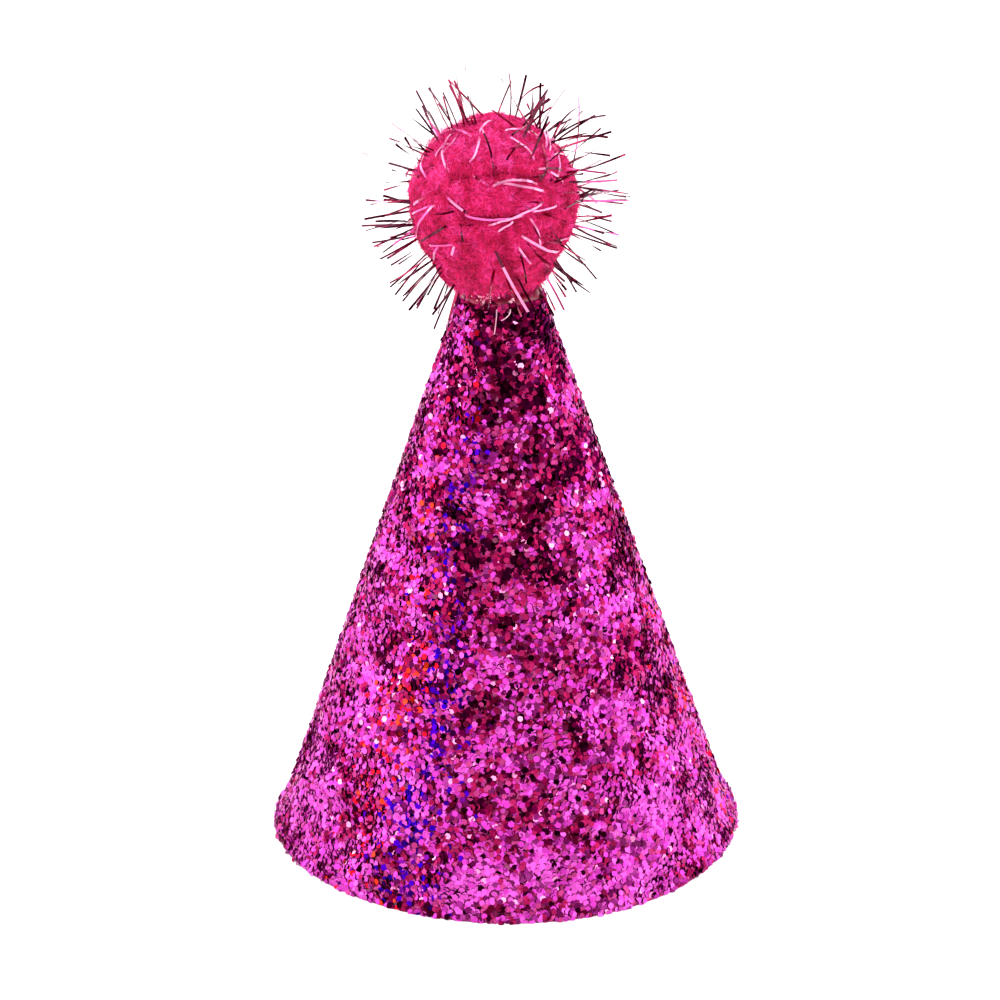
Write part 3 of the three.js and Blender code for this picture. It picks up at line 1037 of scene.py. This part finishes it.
def add_glue_drips(plug):
    """Small beads of glue in the fibres over the mouth's front, and the strings they pulled."""
    shape = bmesh.new()
    for _ in range(BEAD_COUNT):
        turn = math.radians(rng.choice(BEAD_PLACES) + rng.normal(0, 4))
        radius = rng.uniform(5.7, 6.2) * MM
        place = Vector((radius * math.cos(turn), radius * math.sin(turn), 0))
        place.z = CONE_HEIGHT + rng.uniform(1.0, 2.6) * MM
        bead = bmesh.ops.create_icosphere(shape, subdivisions=2, radius=1.0)["verts"]
        size = rng.uniform(0.09, 0.2) * MM
        stretch = Vector(rng.uniform(0.7, 1.3, 3))
        for vertex in bead:
            wobble = 1 + 0.3 * noise.noise(vertex.co * 1.5 + place * 900)
            vertex.co = place + Vector(a * b for a, b in zip(vertex.co, stretch)) * size * wobble
    mesh = bpy.data.meshes.new("glue_beads")
    shape.to_mesh(mesh)
    shape.free()
    mesh.polygons.foreach_set("use_smooth", [True] * len(mesh.polygons))
    mesh.materials.append(glue_material("hot_glue_beads", (0.75, 0.22, 0.34), (0.98, 0.66, 0.74)))
    beads = bpy.data.objects.new("glue_beads", mesh)
    bpy.context.scene.collection.objects.link(beads)
    beads.parent = plug
    strings = []
    for degrees, length, sway in ((264, 3.2, -0.25), (281, 1.4, -1.2)):
        share = np.linspace(0, 1, 12)
        turn = math.radians(degrees) + sway * share**2 / 6
        z = CONE_HEIGHT + (0.3 - length * share) * MM
        radius = cone_radius(turn, z) + (0.12 + 0.2 * np.sin(math.pi * share)) * MM
        strings.append(np.stack([radius * np.cos(turn), radius * np.sin(turn), z], axis=-1))
    line = np.array(strings)
    facing = np.stack([line[..., 0], line[..., 1], 0 * line[..., 0]], axis=-1)
    width = np.full(len(line), 0.13 * MM)
    slots = np.zeros((len(line), line.shape[1] - 1), int)
    made = [bpy.data.materials["hot_glue_beads"]]
    string = film_strips("glue_strings", line, facing, width, 0.1 * MM, slots, made)
    string.parent = plug


def add_seam_glue():
    for node in ("glitter_sheet_seam_glue", "inner_card_seam_glue"):
        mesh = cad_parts[node].data
        mesh.materials.clear()
        mesh.materials.append(bpy.data.materials["hot_glue"])


def add_tie():
    """Twisted thread: the plies wind round it as fine slanted ridges."""
    made = plain_material("tie_thread", (0.5, 0.01, 0.08), 0.8, Sheen_Weight=0.4)
    place = mottle(made, (0.36, 0.0, 0.05), (0.7, 0.02, 0.14), 900.0)
    plies = add_node(made, "ShaderNodeTexWave", bands_direction="DIAGONAL", Scale=700.0)
    plies.inputs["Distortion"].default_value = 1.0
    bump = add_node(made, "ShaderNodeBump", Strength=0.9, Distance=0.08 * MM)
    link(made, place.outputs["Object"], plies.inputs["Vector"])
    link(made, plies.outputs["Fac"], bump.inputs["Height"])
    link(made, bump.outputs["Normal"], shader_of(made).inputs["Normal"])
    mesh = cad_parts["pompom_tie_thread"].data
    mesh.materials.clear()
    mesh.materials.append(made)


# ---------------------------------------------------------------- floor, light and camera


def add_floor():
    mesh = bpy.data.meshes.new("floor")
    half = 3.0
    corners = [(-half, -half, 0), (half, -half, 0), (half, half, 0), (-half, half, 0)]
    mesh.from_pydata(corners, [], [(0, 1, 2, 3)])
    mesh.materials.append(plain_material("floor", (0.95, 0.95, 0.95), 0.9))
    floor = bpy.data.objects.new("floor", mesh)
    floor.location.z = -0.02 * MM
    bpy.context.scene.collection.objects.link(floor)


def add_softbox(name, place, aim, width, height, radiance):
    """A soft area light. radiance is how bright it looks, where the white floor is about 1."""
    light = bpy.data.lights.new(name, "AREA")
    light.shape = "RECTANGLE"
    light.size, light.size_y = width, height
    light.energy = radiance * math.pi * width * height
    box = bpy.data.objects.new(name, light)
    box.location = place
    box.rotation_euler = (Vector(aim) - Vector(place)).to_track_quat("-Z", "Y").to_euler()
    box.visible_camera = False
    bpy.context.scene.collection.objects.link(box)


def add_lights():
    world = bpy.data.worlds.new("studio")
    world.use_nodes = True
    background = world.node_tree.nodes["Background"]
    background.inputs["Color"].default_value = (1, 0.24, 0.46, 1)
    background.inputs["Strength"].default_value = 0.2
    bpy.context.scene.world = world
    middle = (0, 0, 0.05)
    add_softbox("top_softbox", (0, 0.15, 0.95), middle, 1.3, 1.1, 3.0)
    add_softbox("left_softbox", (-0.7, 0.03, 0.28), middle, 0.9, 0.55, 3.0)
    add_softbox("right_softbox", (0.7, 0.03, 0.28), middle, 0.9, 0.55, 3.0)
    add_softbox("low_front_softbox", (0, -0.5, 0.08), (0, 0, 0.03), 1.3, 0.16, 2.4)
    add_softbox("high_front_softbox", (0, -0.62, 0.72), middle, 0.9, 0.35, 2.2)
    add_softbox("back_softbox", (0, 0.85, 0.3), middle, 2.2, 0.56, 2.6)


def add_camera():
    """A long lens, from a little above, aimed a hair off the hat's middle."""
    look_at = Vector((0, 0, 50)) * MM
    distance = 600 * MM
    elevation = math.radians(22)
    away = Vector((0, -math.cos(elevation), math.sin(elevation)))
    camera = bpy.data.objects.new("camera", bpy.data.cameras.new("camera"))
    camera.data.lens = 153.9
    camera.data.sensor_width = 36
    camera.location = look_at + away * distance
    aim = look_at + Vector((-0.56, 0, -0.8)) * MM
    turn = (aim - camera.location).to_track_quat("-Z", "Y")
    camera.rotation_mode = "QUATERNION"
    camera.rotation_quaternion = turn @ Matrix.Rotation(math.radians(-0.76), 3, "Z").to_quaternion()
    camera.data.clip_start, camera.data.clip_end = 0.01, 20
    bpy.context.scene.collection.objects.link(camera)
    bpy.context.scene.camera = camera


def main():
    bpy.context.scene.view_settings.view_transform = "Standard"
    add_camera()
    add_lights()
    add_floor()
    backing, card = add_sheets()
    add_flakes(backing)
    core = add_core()
    add_fibres(core)
    add_fringe(core)
    add_tinsel(core)
    plug = add_tip_glue()
    add_glue_drips(plug)
    add_seam_glue()
    add_tie()


main()
